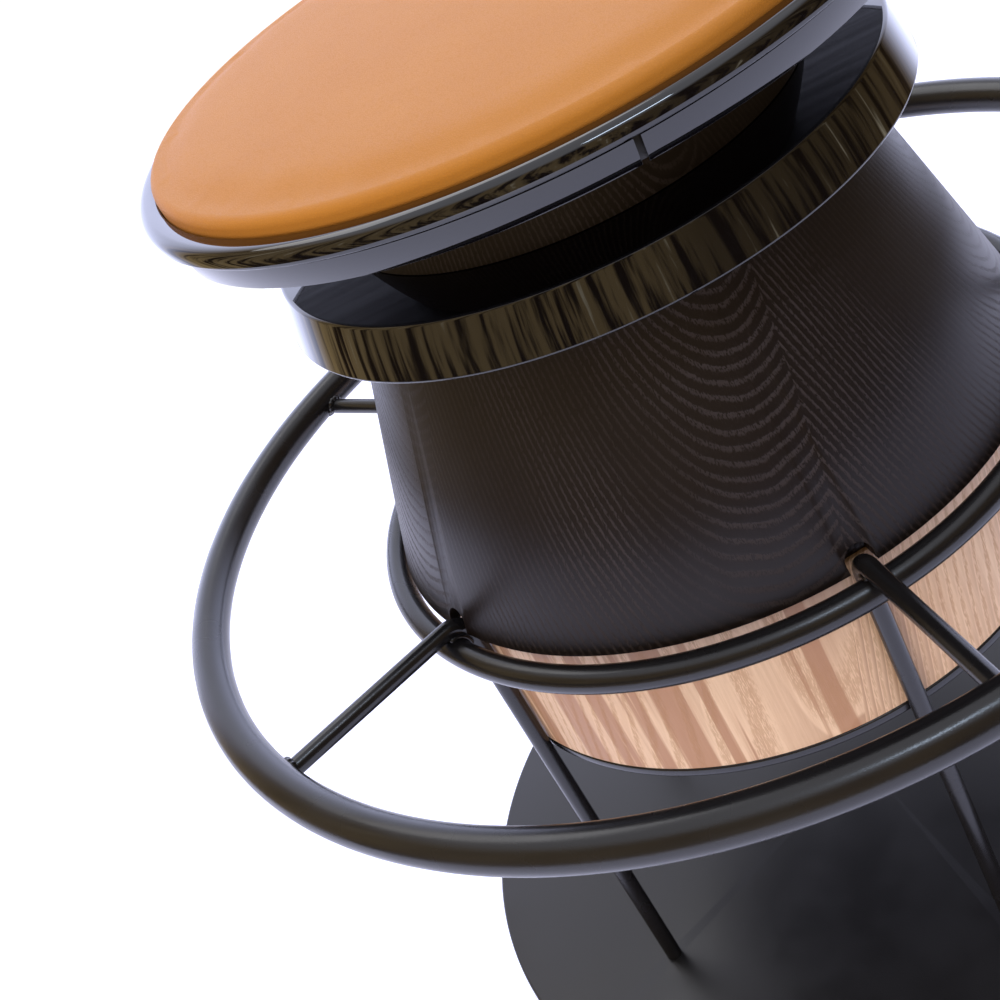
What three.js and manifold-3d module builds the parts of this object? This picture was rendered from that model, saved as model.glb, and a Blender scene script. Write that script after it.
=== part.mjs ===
// Low swivel stool: a round leather seat on a conical timber body, carried by a welded rod frame.
// Units are millimetres, +Z is up, and the origin is on the floor under the stool's axis.
import * as THREE from 'three';
import { mergeVertices } from 'three/addons/utils/BufferGeometryUtils.js';
import Module from 'manifold-3d';

const wasm = await Module();
wasm.setup();

// ---- Driving dimensions -----------------------------------------------------------------------
const TOUCH = 0.3;                  // gap between pieces that touch
const CUT_PAST = 1;                 // cutting tools pass this far beyond a face
const HIDDEN_ROUND = 32;            // facets round turned pieces that stay inside
const SMALL_ROUND = 12;             // facets round rods, screws and washers

// Base
const GLIDE_HEIGHT = 3;
const GLIDE_WIDTH = 14;
const GLIDE_INSET = 9;              // from the base plate's rim to the glide ring
const BASE_RADIUS = 213.5;
const BASE_THICKNESS = 8;
const BASE_CHAMFER = 1.5;

// Body stack, from the steel tray upwards
const TRAY_HEIGHT = 157.5;          // clear height between the base plate and the tray
const TRAY_THICKNESS = 4.5;
const PALE_RADIUS = 142;
const PALE_HEIGHT = 78.9;
const CONE_BOTTOM_RADIUS = 150.5;
const CONE_HEIGHT = 129.4;
const TAPER = 0.3234;               // radius that the timber cone loses for each mm of height
const COLLAR_RADIUS = 138.3;
const COLLAR_HEIGHT = 21.9;
const COLLAR_TAPER = 6.3;           // the collar's top radius is smaller by this much
const COLLAR_EDGE = 1.4;            // softened edges of the collar
const NECK_HEIGHT = 36.5;
const HOLLOW_RADIUS = 46;           // hollow inside the timber pieces

// Frame: rods that are leg and spoke in one, and two rings
const ROD_COUNT = 5;
const FIRST_ROD_ANGLE = -150;       // degrees from +X
const ROD_DIAMETER = 8;
const LEG_GAP = 0.5;                // between the pale band and each leg
const SPOKE_RISE = 3.7;             // the spokes' centre line above the cone's lower edge
const SOCKET_CLEARANCE = 2;         // round each rod where the cone's edge is notched for it
const INNER_RING_TUBE = 12;
const FOOT_RING_RADIUS = 250;
const FOOT_RING_TUBE = 17.6;
const FOOT_RING_RISE = 4.1;         // the foot ring's centre above the spokes' centre line
const LEG_SCREW_DIAMETER = 5;
const LEG_SCREW_DEPTH = 14;         // length of the screw inside the leg
const LEG_SCREW_SINK = 0.4;         // the screw's head lies this deep in the base plate
const LEG_SCREW_EDGE = 0.6;         // straight edge of the screw's countersunk head
const SCREW_CLEARANCE = 0.25;

// Tie rod that clamps the timber stack between the tray and the seat bed
const TIE_DIAMETER = 12;
const TIE_CLEARANCE = 0.6;
const WASHER_RADIUS = 30;
const WASHER_THICKNESS = 3;
const NUT_RADIUS = 10.5;
const NUT_HEIGHT = 9;
const TIE_END = 3;                  // thread showing past each nut

// Seat bed and its edge band, which stay still
const BED_THICKNESS = 10.2;
const BAND_RADIUS = 161.5;
const BAND_TAPER = 2.6;             // the band's lower edge is tucked in by this much
const BAND_THICKNESS = 3;
const BAND_SLIT = 2.6;
const BAND_SLIT_ANGLE = -83.5;      // degrees from +X

// Ball swivel
const SEAT_GAP = 1.4;               // shadow gap between the band and the turning seat
const SWIVEL_RADIUS = 80;
const SWIVEL_BORE = 44;
const PLATE_THICKNESS = 1.6;
const RACE_RADIUS = 64;
const BALL_COUNT = 8;
const BALL_DIAMETER = 5;
const CAGE_WIDTH = 13;
const CAGE_THICKNESS = 1.6;
const RUNNING_CLEARANCE = 0.35;
const EYELET_WALL = 2;
const EYELET_FLANGE = 3.5;
const EYELET_LIP = 1.2;
const PLATE_SCREW_COUNT = 4;
const PLATE_SCREW_CIRCLE = 74;
const PLATE_SCREW_DIAMETER = 3.5;
const PLATE_SCREW_LENGTH = 4;       // length of the screw in the timber
const PLATE_SCREW_HEAD = 1.1;
const RECESS_CLEARANCE = 1.5;       // round the swivel's plates in their recesses

// Turning seat
const RIM_RADIUS = 164.6;
const RIM_WIDTH = 9.5;
const RIM_HEIGHT = 7;
const RIM_ROUND = 4.5;              // rounded upper outer corner of the rim
const RIM_EASE = 0.8;               // softened lower outer corner of the rim
const BOARD_THICKNESS = 9;
const BOARD_LIP = 4;                // height of the board's edge under the leather's skirt
const FOAM_HEIGHT = 3.2;
const PAD_CROWN = 5;                // rise of the pad's middle above its edge
const PAD_FULLNESS = 2.4;           // higher is flatter in the middle and rounder at the edge
const LEATHER_THICKNESS = 1.6;

// ---- Sizes and heights that follow ------------------------------------------------------------
const ROUND = 8 * ROD_COUNT;        // facets round the large pieces, a whole number between rods
const rodRadius = ROD_DIAMETER / 2;
const baseBottom = GLIDE_HEIGHT + TOUCH;
const baseTop = baseBottom + BASE_THICKNESS;
const trayBottom = baseTop + TRAY_HEIGHT;
const trayTop = trayBottom + TRAY_THICKNESS;
const paleBottom = trayTop + TOUCH;
const paleTop = paleBottom + PALE_HEIGHT;
const coneBottom = paleTop + TOUCH;
const coneTop = coneBottom + CONE_HEIGHT;
const collarBottom = coneTop + TOUCH;
const collarTop = collarBottom + COLLAR_HEIGHT;
const neckBottom = collarTop + TOUCH;
const neckTop = neckBottom + NECK_HEIGHT;
const bedBottom = neckTop + TOUCH;
const bedTop = bedBottom + BED_THICKNESS;
const seatBottom = bedTop + SEAT_GAP;
const boardTop = seatBottom + BOARD_THICKNESS;

const spokeHeight = coneBottom + SPOKE_RISE;
const legCircle = PALE_RADIUS + LEG_GAP + rodRadius;
const trayRadius = legCircle - rodRadius - TOUCH;
// The inner ring nests in the rods' bends, so they share a centre
const rodBend = rodRadius + TOUCH + INNER_RING_TUBE / 2;
const innerRingRadius = legCircle + rodBend;
const innerRingHeight = spokeHeight - rodBend;
const footRingHeight = spokeHeight + FOOT_RING_RISE;
const tieHole = TIE_DIAMETER / 2 + TIE_CLEARANCE;
const rimInner = RIM_RADIUS - RIM_WIDTH;
const boardRadius = rimInner - TOUCH;
const skirtInner = boardRadius - LEATHER_THICKNESS;
const padRadius = skirtInner - TOUCH;

// The swivel's two recesses share its height about the shadow gap
const swivelHeight = 2 * PLATE_THICKNESS + BALL_DIAMETER + 2 * RUNNING_CLEARANCE;
const recessDepth = (swivelHeight - SEAT_GAP) / 2 + TOUCH;
const lowerPlateBottom = bedTop - recessDepth + TOUCH;
const lowerPlateTop = lowerPlateBottom + PLATE_THICKNESS;
const ballHeight = lowerPlateTop + RUNNING_CLEARANCE + BALL_DIAMETER / 2;
const upperPlateBottom = ballHeight + BALL_DIAMETER / 2 + RUNNING_CLEARANCE;
const upperPlateTop = upperPlateBottom + PLATE_THICKNESS;
const recessRadius = SWIVEL_RADIUS + RECESS_CLEARANCE;

// ---- Materials --------------------------------------------------------------------------------
function finish(color, roughness, metalness) {
  return new THREE.MeshStandardMaterial({ color, roughness, metalness });
}
const blackSteel = () => finish(0x26252a, 0.38, 0.6);
const zincSteel = () => finish(0xa9abae, 0.35, 0.9);
const lacquer = () => finish(0x08080b, 0.06, 0);
const darkAsh = () => finish(0x2a2220, 0.42, 0);
const paleAsh = () => finish(0xd9b896, 0.55, 0);
const plywood = () => finish(0xb08a62, 0.7, 0);
const blackStain = () => finish(0x14110f, 0.5, 0);
const felt = () => finish(0x1d1d1f, 0.95, 0);
const foam = () => finish(0xe6dfc8, 0.9, 0);
const leather = () => finish(0xd7995f, 0.6, 0);

// ---- Geometry helpers -------------------------------------------------------------------------
// Merges shared corners, drops collapsed faces and turns the faces outwards.
function closed(geometry) {
  const bare = geometry.index ? geometry.toNonIndexed() : geometry.clone();
  bare.deleteAttribute('normal');
  bare.deleteAttribute('uv');
  const merged = mergeVertices(bare, 1e-4);
  const kept = [];
  for (let i = 0; i < merged.index.count; i += 3) {
    const [a, b, c] = [0, 1, 2].map((k) => merged.index.getX(i + k));
    if (a !== b && b !== c && c !== a) kept.push(a, b, c);
  }
  merged.setIndex(signedVolume(merged, kept) < 0 ? kept.reverse() : kept);
  return merged;
}

function signedVolume(geometry, index) {
  const corner = [0, 1, 2].map(() => new THREE.Vector3());
  let volume = 0;
  for (let i = 0; i < index.length; i += 3) {
    corner.forEach((v, k) => v.fromBufferAttribute(geometry.attributes.position, index[i + k]));
    volume += corner[0].dot(corner[1].clone().cross(corner[2])) / 6;
  }
  return volume;
}

function toSolid(geometry) {
  const body = closed(geometry);
  return new wasm.Manifold(new wasm.Mesh({
    numProp: 3,
    vertProperties: new Float32Array(body.attributes.position.array),
    triVerts: new Uint32Array(body.index.array),
  }));
}

function fromSolid(solid) {
  const result = solid.getMesh();
  const geometry = new THREE.BufferGeometry();
  geometry.setAttribute('position', new THREE.BufferAttribute(result.vertProperties, 3));
  geometry.setIndex(new THREE.BufferAttribute(result.triVerts, 1));
  return geometry;
}

function cut(geometry, tools) {
  let solid = toSolid(geometry);
  for (const tool of tools) solid = solid.subtract(toSolid(tool));
  return fromSolid(solid);
}

// Turns an outline of [radius, height] points about the stool's axis.
function turned(outline, facets = ROUND) {
  const points = outline.map(([radius, height]) => new THREE.Vector2(radius, height));
  const onAxis = outline[0][0] === 0;
  if (!onAxis) points.push(points[0].clone());
  return closed(new THREE.LatheGeometry(points, facets).rotateX(Math.PI / 2));
}

function ring(inner, outer, bottom, top, facets = ROUND) {
  return turned([[inner, bottom], [outer, bottom], [outer, top], [inner, top]], facets);
}

// Upright round bar from one height to another.
function bar(radius, bottom, top, facets = SMALL_ROUND) {
  const shape = new THREE.CylinderGeometry(radius, radius, top - bottom, facets);
  return closed(shape.rotateX(Math.PI / 2).translate(0, 0, (bottom + top) / 2));
}

function torus(radius, tubeRadius, height, tubeFacets = 10, facets = ROUND) {
  return closed(new THREE.TorusGeometry(radius, tubeRadius, tubeFacets, facets).translate(0, 0, height));
}

// Quarter-round points from one angle to another about a centre, in an outline's own plane.
function arc(centreRadius, centreHeight, radius, fromDegrees, toDegrees, steps = 5) {
  return Array.from({ length: steps + 1 }, (_, i) => {
    const angle = THREE.MathUtils.degToRad(fromDegrees + (toDegrees - fromDegrees) * i / steps);
    return [centreRadius + radius * Math.cos(angle), centreHeight + radius * Math.sin(angle)];
  });
}

// A polyline as a curve, so that a sweep has one section at each of its points.
class Stations extends THREE.Curve {
  constructor(points) {
    super();
    this.points = points;
  }

  getPoint(t) {
    const place = t * (this.points.length - 1);
    const start = Math.min(Math.max(Math.floor(place), 0), this.points.length - 2);
    return this.points[start].clone().lerp(this.points[start + 1], place - start);
  }

  getUtoTmapping(u) {
    return u;
  }
}

function around(count, firstDegrees = 0) {
  return Array.from({ length: count }, (_, i) => THREE.MathUtils.degToRad(firstDegrees + 360 * i / count));
}

function polar(radius, angle, height = 0) {
  return new THREE.Vector3(radius * Math.cos(angle), radius * Math.sin(angle), height);
}

const stool = new THREE.Group();

function place(name, geometry, material, position = new THREE.Vector3(), angle = 0) {
  const mesh = new THREE.Mesh(geometry, material);
  mesh.name = name;
  mesh.position.copy(position);
  mesh.rotation.z = angle;
  mesh.geometry.computeVertexNormals();
  stool.add(mesh);
}

const rodAngles = around(ROD_COUNT, FIRST_ROD_ANGLE);
const plateScrewAngles = around(PLATE_SCREW_COUNT, 45);

// ---- Base -------------------------------------------------------------------------------------
function buildBase() {
  const glideOuter = BASE_RADIUS - GLIDE_INSET;
  place('glide_ring', ring(glideOuter - GLIDE_WIDTH, glideOuter, 0, GLIDE_HEIGHT), felt());

  const disc = turned([
    [0, baseBottom],
    [BASE_RADIUS - BASE_CHAMFER, baseBottom],
    [BASE_RADIUS, baseBottom + BASE_CHAMFER],
    [BASE_RADIUS, baseTop - BASE_CHAMFER],
    [BASE_RADIUS - BASE_CHAMFER, baseTop],
    [0, baseTop],
  ]);
  const holes = rodAngles.map((angle) => screwShape(SCREW_CLEARANCE).translate(...polar(legCircle, angle)));
  place('base_plate', cut(disc, holes), blackSteel());
  rodAngles.forEach((angle, i) => {
    place(`leg_screw_${i + 1}`, screwShape(0), zincSteel(), polar(legCircle, angle));
  });
}

// Countersunk screw that enters from under the base plate; grow makes the hole for it.
function screwShape(grow) {
  const shank = LEG_SCREW_DIAMETER / 2 + grow;
  const head = LEG_SCREW_DIAMETER + grow;
  const sunk = baseBottom + LEG_SCREW_SINK;
  const mouth = grow > 0 ? baseBottom - CUT_PAST : sunk;
  const edgeTop = sunk + LEG_SCREW_EDGE + grow;
  const tip = baseTop + LEG_SCREW_DEPTH + grow;
  return turned([
    [0, mouth],
    [head, mouth],
    [head, edgeTop],
    [shank, edgeTop + head - shank],
    [shank, tip],
    [0, tip],
  ], SMALL_ROUND);
}

// ---- Frame ------------------------------------------------------------------------------------
// Rod in the X-Z plane: down the leg, round the bend and out along the spoke.
function rodPath() {
  const bend = arc(innerRingRadius, innerRingHeight, rodBend, 180, 90);
  const corner = bend.map(([x, z]) => new THREE.Vector3(x, 0, z));
  const foot = new THREE.Vector3(legCircle, 0, baseTop + TOUCH);
  const tip = new THREE.Vector3(FOOT_RING_RADIUS, 0, spokeHeight);
  return new Stations([foot, ...corner, tip]);
}

function rodShape() {
  const path = rodPath();
  const section = new THREE.Shape().absarc(0, 0, rodRadius, 0, 2 * Math.PI);
  const swept = new THREE.ExtrudeGeometry(section, {
    steps: path.points.length - 1,
    curveSegments: SMALL_ROUND,
    bevelEnabled: false,
    extrudePath: path,
  });
  const cope = torus(FOOT_RING_RADIUS, FOOT_RING_TUBE / 2 + TOUCH, footRingHeight);
  const outside = ring(FOOT_RING_RADIUS - CUT_PAST, FOOT_RING_RADIUS + FOOT_RING_TUBE,
    spokeHeight - ROD_DIAMETER, spokeHeight + ROD_DIAMETER);
  const thread = screwShape(SCREW_CLEARANCE).translate(legCircle, 0, 0);
  return cut(swept, [cope, outside, thread]);
}

function buildFrame() {
  rodAngles.forEach((angle, i) => {
    place(`rod_${i + 1}`, rodShape(), blackSteel(), new THREE.Vector3(), angle);
  });
  const innerRing = torus(innerRingRadius, INNER_RING_TUBE / 2, innerRingHeight);
  const footRing = torus(FOOT_RING_RADIUS, FOOT_RING_TUBE / 2, footRingHeight);
  place('inner_ring', innerRing, blackSteel(), new THREE.Vector3(), rodAngles[0]);
  place('foot_ring', footRing, blackSteel(), new THREE.Vector3(), rodAngles[0]);
  place('body_tray', ring(tieHole, trayRadius, trayBottom, trayTop), blackSteel());
}

// ---- Timber body ------------------------------------------------------------------------------
// Arched notch, open downwards, that lets a rod's bend into the cone's lower edge.
function socketShape() {
  const half = rodRadius + SOCKET_CLEARANCE;
  const inner = legCircle - half;
  const outer = CONE_BOTTOM_RADIUS + CUT_PAST;
  const mouth = -SPOKE_RISE - CUT_PAST;
  const arch = new THREE.Shape();
  arch.moveTo(-half, mouth);
  arch.lineTo(half, mouth);
  arch.lineTo(half, 0);
  arch.absarc(0, 0, half, 0, Math.PI);
  const block = new THREE.ExtrudeGeometry(arch, {
    depth: outer - inner,
    bevelEnabled: false,
    curveSegments: 8,
  });
  return block.rotateX(Math.PI / 2).rotateZ(Math.PI / 2).translate(inner, 0, spokeHeight);
}

function buildBody() {
  place('pale_band', ring(HOLLOW_RADIUS, PALE_RADIUS, paleBottom, paleTop), paleAsh());

  const coneTopRadius = CONE_BOTTOM_RADIUS - TAPER * CONE_HEIGHT;
  const cone = turned([
    [HOLLOW_RADIUS, coneBottom],
    [CONE_BOTTOM_RADIUS, coneBottom],
    [coneTopRadius, coneTop],
    [HOLLOW_RADIUS, coneTop],
  ]);
  const sockets = rodAngles.map((angle) => socketShape().rotateZ(angle));
  place('dark_cone', cut(cone, sockets), darkAsh());

  const collarTopRadius = COLLAR_RADIUS - COLLAR_TAPER;
  place('collar', turned([
    [tieHole, collarBottom],
    [COLLAR_RADIUS - COLLAR_EDGE, collarBottom],
    [COLLAR_RADIUS, collarBottom + COLLAR_EDGE],
    [collarTopRadius, collarTop - COLLAR_EDGE],
    [collarTopRadius - COLLAR_EDGE, collarTop],
    [tieHole, collarTop],
  ]), lacquer());

  const neckBottomRadius = coneTopRadius - TAPER * (neckBottom - coneTop);
  place('neck_cone', turned([
    [HOLLOW_RADIUS, neckBottom],
    [neckBottomRadius, neckBottom],
    [neckBottomRadius - TAPER * NECK_HEIGHT, neckTop],
    [HOLLOW_RADIUS, neckTop],
  ]), darkAsh());
}

// ---- Tie rod ----------------------------------------------------------------------------------
function buildTie() {
  const washerBottom = trayBottom - TOUCH - WASHER_THICKNESS;
  const nutTop = washerBottom - TOUCH;
  const nutBottom = nutTop - NUT_HEIGHT;
  place('lower_washer', washerShape(washerBottom), zincSteel());
  place('lower_nut', nutShape(nutBottom), zincSteel());

  const bedWasherBottom = bedBottom - TOUCH - WASHER_THICKNESS;
  const bedNutBottom = bedWasherBottom - TOUCH - NUT_HEIGHT;
  place('upper_washer', washerShape(bedWasherBottom), zincSteel());
  place('upper_nut', nutShape(bedNutBottom), zincSteel());
  place('tie_rod', bar(TIE_DIAMETER / 2, nutBottom - TIE_END, bedTop - recessDepth - TOUCH), zincSteel());
}

function washerShape(bottom) {
  return ring(tieHole, WASHER_RADIUS, bottom, bottom + WASHER_THICKNESS, SMALL_ROUND);
}

function nutShape(bottom) {
  const top = bottom + NUT_HEIGHT;
  return cut(bar(NUT_RADIUS, bottom, top, 6), [bar(tieHole, bottom - CUT_PAST, top + CUT_PAST)]);
}

// ---- Seat bed ---------------------------------------------------------------------------------
function buildBed() {
  const bandBottomRadius = BAND_RADIUS - BAND_TAPER;
  const bandInner = bandBottomRadius - BAND_THICKNESS;
  const bedRadius = bandInner - TOUCH;
  const bed = turned([
    [tieHole, bedBottom],
    [bedRadius, bedBottom],
    [bedRadius, bedTop],
    [recessRadius, bedTop],
    [recessRadius, bedTop - recessDepth],
    [tieHole, bedTop - recessDepth],
  ]);
  place('seat_bed', cut(bed, plateScrewHoles(lowerPlateTop, true)), blackStain());

  const band = turned([
    [bandInner, bedBottom],
    [bandBottomRadius, bedBottom],
    [BAND_RADIUS, bedTop],
    [bandInner, bedTop],
  ]);
  const slit = new THREE.BoxGeometry(4 * BAND_THICKNESS, BAND_SLIT, 2 * BED_THICKNESS);
  slit.translate(bandBottomRadius, 0, bedBottom + BED_THICKNESS / 2);
  place('edge_band', cut(band, [slit.rotateZ(THREE.MathUtils.degToRad(BAND_SLIT_ANGLE))]), lacquer());
}

// ---- Swivel -----------------------------------------------------------------------------------
// Flat-headed screw with its head's underside at height 0, pointing up.
function plateScrewShape(grow) {
  const shank = PLATE_SCREW_DIAMETER / 2 + grow;
  const head = grow > 0 ? shank : PLATE_SCREW_DIAMETER;
  return turned([
    [0, -PLATE_SCREW_HEAD],
    [head, -PLATE_SCREW_HEAD],
    [head, -TOUCH / 2],
    [shank, -TOUCH / 2],
    [shank, PLATE_THICKNESS + PLATE_SCREW_LENGTH + grow],
    [0, PLATE_THICKNESS + PLATE_SCREW_LENGTH + grow],
  ], SMALL_ROUND / 2);
}

// Holes for one plate's screws, which point down where flipped.
function plateScrewHoles(height, flipped) {
  return plateScrewAngles.map((angle) => {
    const hole = plateScrewShape(SCREW_CLEARANCE).rotateX(flipped ? Math.PI : 0);
    return hole.translate(...polar(PLATE_SCREW_CIRCLE, angle, height));
  });
}

function buildSwivel() {
  const lower = ring(SWIVEL_BORE, SWIVEL_RADIUS, lowerPlateBottom, lowerPlateTop, HIDDEN_ROUND);
  const upper = ring(SWIVEL_BORE, SWIVEL_RADIUS, upperPlateBottom, upperPlateTop, HIDDEN_ROUND);
  place('lower_swivel_plate', cut(lower, plateScrewHoles(lowerPlateTop, true)), zincSteel());
  place('upper_swivel_plate', cut(upper, plateScrewHoles(upperPlateBottom, false)), zincSteel());
  plateScrewAngles.forEach((angle, i) => {
    const lowPlace = polar(PLATE_SCREW_CIRCLE, angle, lowerPlateTop);
    const highPlace = polar(PLATE_SCREW_CIRCLE, angle, upperPlateBottom);
    place(`bed_screw_${i + 1}`, plateScrewShape(0).rotateX(Math.PI), zincSteel(), lowPlace);
    place(`board_screw_${i + 1}`, plateScrewShape(0), zincSteel(), highPlace);
  });

  const cage = ring(RACE_RADIUS - CAGE_WIDTH / 2, RACE_RADIUS + CAGE_WIDTH / 2,
    ballHeight - CAGE_THICKNESS / 2, ballHeight + CAGE_THICKNESS / 2, HIDDEN_ROUND);
  const pocket = BALL_DIAMETER / 2 + RUNNING_CLEARANCE;
  const ballAngles = around(BALL_COUNT);
  const pockets = ballAngles.map((angle) => {
    const hole = bar(pocket, ballHeight - BALL_DIAMETER, ballHeight + BALL_DIAMETER);
    return hole.translate(...polar(RACE_RADIUS, angle));
  });
  place('ball_cage', cut(cage, pockets), zincSteel());
  ballAngles.forEach((angle, i) => {
    const ball = closed(new THREE.SphereGeometry(BALL_DIAMETER / 2, 8, 6));
    place(`ball_${i + 1}`, ball, zincSteel(), polar(RACE_RADIUS, angle, ballHeight));
  });

  // Hollow eyelet whose two flanges hold the plates together.
  const wall = SWIVEL_BORE - RUNNING_CLEARANCE;
  const flangeTop = upperPlateTop + RUNNING_CLEARANCE;
  place('swivel_eyelet', turned([
    [wall - EYELET_WALL, lowerPlateTop + TOUCH],
    [wall + EYELET_FLANGE, lowerPlateTop + TOUCH],
    [wall + EYELET_FLANGE, lowerPlateTop + TOUCH + EYELET_LIP],
    [wall, lowerPlateTop + TOUCH + EYELET_LIP],
    [wall, flangeTop],
    [wall + EYELET_FLANGE, flangeTop],
    [wall + EYELET_FLANGE, flangeTop + EYELET_LIP],
    [wall - EYELET_WALL, flangeTop + EYELET_LIP],
  ], HIDDEN_ROUND), zincSteel());
}

// ---- Turning seat -----------------------------------------------------------------------------
function buildSeat() {
  const boardRecess = upperPlateTop + TOUCH;
  const eyeletRecess = upperPlateTop + RUNNING_CLEARANCE + EYELET_LIP + TOUCH;
  const eyeletRoom = SWIVEL_BORE + EYELET_FLANGE + RUNNING_CLEARANCE;
  const board = turned([
    [0, eyeletRecess],
    [eyeletRoom, eyeletRecess],
    [eyeletRoom, boardRecess],
    [recessRadius, boardRecess],
    [recessRadius, seatBottom],
    [boardRadius, seatBottom],
    [boardRadius, seatBottom + BOARD_LIP],
    [padRadius, seatBottom + BOARD_LIP],
    [padRadius, boardTop],
    [0, boardTop],
  ]);
  place('seat_board', cut(board, plateScrewHoles(upperPlateBottom, false)), plywood());

  const rimTop = seatBottom + RIM_HEIGHT;
  place('seat_rim', turned([
    [rimInner, seatBottom],
    [RIM_RADIUS - RIM_EASE, seatBottom],
    [RIM_RADIUS, seatBottom + RIM_EASE],
    ...arc(RIM_RADIUS - RIM_ROUND, rimTop - RIM_ROUND, RIM_ROUND, 0, 90),
    [rimInner, rimTop],
  ]), lacquer());

  // The leather lies over the foam, and its skirt drops between the rim and the board
  const foamBottom = boardTop + TOUCH;
  const foamEdge = foamBottom + FOAM_HEIGHT;
  const liningEdge = foamEdge + TOUCH;
  const skirtBottom = seatBottom + BOARD_LIP + TOUCH;
  place('seat_foam', turned([[0, foamBottom], ...crowned(padRadius, foamBottom, foamEdge)]), foam());
  const skin = crowned(boardRadius, skirtBottom, liningEdge + LEATHER_THICKNESS);
  const lining = crowned(skirtInner, skirtBottom, liningEdge).reverse();
  place('seat_leather', turned([lining[lining.length - 1], ...skin, ...lining.slice(0, -1)]), leather());
}

// Outline from a pad's lower edge, up its side to the edge of its crown and over to the axis.
function crowned(radius, bottom, edge) {
  const steps = 5;
  const top = Array.from({ length: steps + 1 }, (_, i) => {
    const share = 1 - i / steps;
    return [radius * share, edge + PAD_CROWN * (1 - share ** PAD_FULLNESS)];
  });
  return [[radius, bottom], ...top];
}

buildBase();
buildFrame();
buildBody();
buildTie();
buildBed();
buildSwivel();
buildSeat();

export default stool;
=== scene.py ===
"""Low swivel stool: a leather seat on a conical ash body, carried by a welded frame of black steel rods."""

import math

import bmesh
import bpy
from mathutils import Matrix, Vector


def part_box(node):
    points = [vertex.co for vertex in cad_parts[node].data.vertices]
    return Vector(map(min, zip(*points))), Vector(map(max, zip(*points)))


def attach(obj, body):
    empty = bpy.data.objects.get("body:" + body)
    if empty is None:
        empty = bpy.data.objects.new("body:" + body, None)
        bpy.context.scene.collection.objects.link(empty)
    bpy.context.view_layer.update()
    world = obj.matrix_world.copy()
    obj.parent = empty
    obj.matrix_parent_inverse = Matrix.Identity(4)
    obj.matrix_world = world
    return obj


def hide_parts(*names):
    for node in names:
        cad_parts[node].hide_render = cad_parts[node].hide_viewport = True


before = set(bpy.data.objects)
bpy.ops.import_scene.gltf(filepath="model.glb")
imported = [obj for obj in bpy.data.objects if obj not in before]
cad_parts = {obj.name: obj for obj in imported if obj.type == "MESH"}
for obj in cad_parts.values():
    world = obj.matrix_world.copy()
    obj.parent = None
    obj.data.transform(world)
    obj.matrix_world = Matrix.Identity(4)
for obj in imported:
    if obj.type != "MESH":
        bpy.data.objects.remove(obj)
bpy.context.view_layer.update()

# ---- Sizes in metres, angles and counts ---------------------------------------------------------
TOUCH = 0.0003
MERGE = 0.00001
ROUND_STEPS = 240
SMALL_STEPS = 48
ROD_COUNT = 5
FIRST_ROD_ANGLE = math.radians(-150)
ROD_RADIUS = 0.004
SPOKE_RISE = 0.0037
SOCKET_CLEARANCE = 0.002
LEG_SCREW_RADIUS = 0.0025
LEG_SCREW_HEAD = 0.005
LEG_SCREW_EDGE = 0.0006
HEX_KEY_RADIUS = 0.0018
HEX_KEY_DEPTH = 0.005
SCREW_CLEARANCE = 0.00025
CUT_PAST = 0.002
BASE_EDGE = 0.0015
GLIDE_WIDTH = 0.014
RECESS_CLEARANCE = 0.0015
BALL_COUNT = 8
PLATE_SCREWS = 4
WELD_RADIUS = 0.0017
WELD_RIPPLE = 0.10
WELD_RIPPLES = 13
BEAD_RADIUS = 0.0013
BEAD_OFFSET = 0.0030
BEAD_END = 0.0008
RIM_EASE = 0.0008
RIM_ROUND = 0.0045
BAND_THICKNESS = 0.003
BAND_SLIT = 0.0026
BAND_SLIT_ANGLE = math.radians(-83.5)
COLLAR_EDGE = 0.0014
COLLAR_TAPER = 0.0063
CONE_TAPER = 0.3234
THREAD_PITCH = 0.00175
THREAD_DEPTH = 0.0007
STAVE_ANGLE = math.radians(72)
STAVE_START = math.radians(-80)
PITH_OFFSET = math.radians(7)
STAVE_LEAN = 1.5  # how far the glue joints turn as they rise, in radians per metre
STAVE_FOOT = 0.2528  # height at which they stand at their stated angle
LEATHER_THICKNESS = 0.0016
PAD_EDGE = 0.0046
PAD_EDGE_ROUND = 0.0042
PAD_FULLNESS = 2.3
CROWN_RINGS = 40
CROWN_MARGIN = 0.004
CROWN_FADE = 0.012
BLANK_INSET = 0.0012
BLANK_DROP = 0.0010
BLANK_STEPS = 160
BLANK_VOXEL = 0.004
PAD_PRESSURE = 4
PAD_FRAMES = 20
PAD_CAP = 0.0025  # furthest that the simulation may move the leather
PAD_FOLLOW = 0.004
FLOOR_RADIUS = 1.1
CAMERA_PLACE = (0, -0.6052, 0.6338)
CAMERA_HEADING = math.radians(9.333)
CAMERA_TILT = math.radians(90 - 31.644)
CAMERA_ROLL = math.radians(-30.113)
CAMERA_LENS = 56.03
CAMERA_SENSOR = 36


def low(node):
    """Height of a CAD node's underside."""
    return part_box(node)[0].z


def high(node):
    """Height of a CAD node's top."""
    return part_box(node)[1].z


def reach(node):
    """Smallest and largest distance of a CAD node from the stool's axis."""
    spread = [math.hypot(v.co.x, v.co.y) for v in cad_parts[node].data.vertices]
    return min(spread), max(spread)


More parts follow.
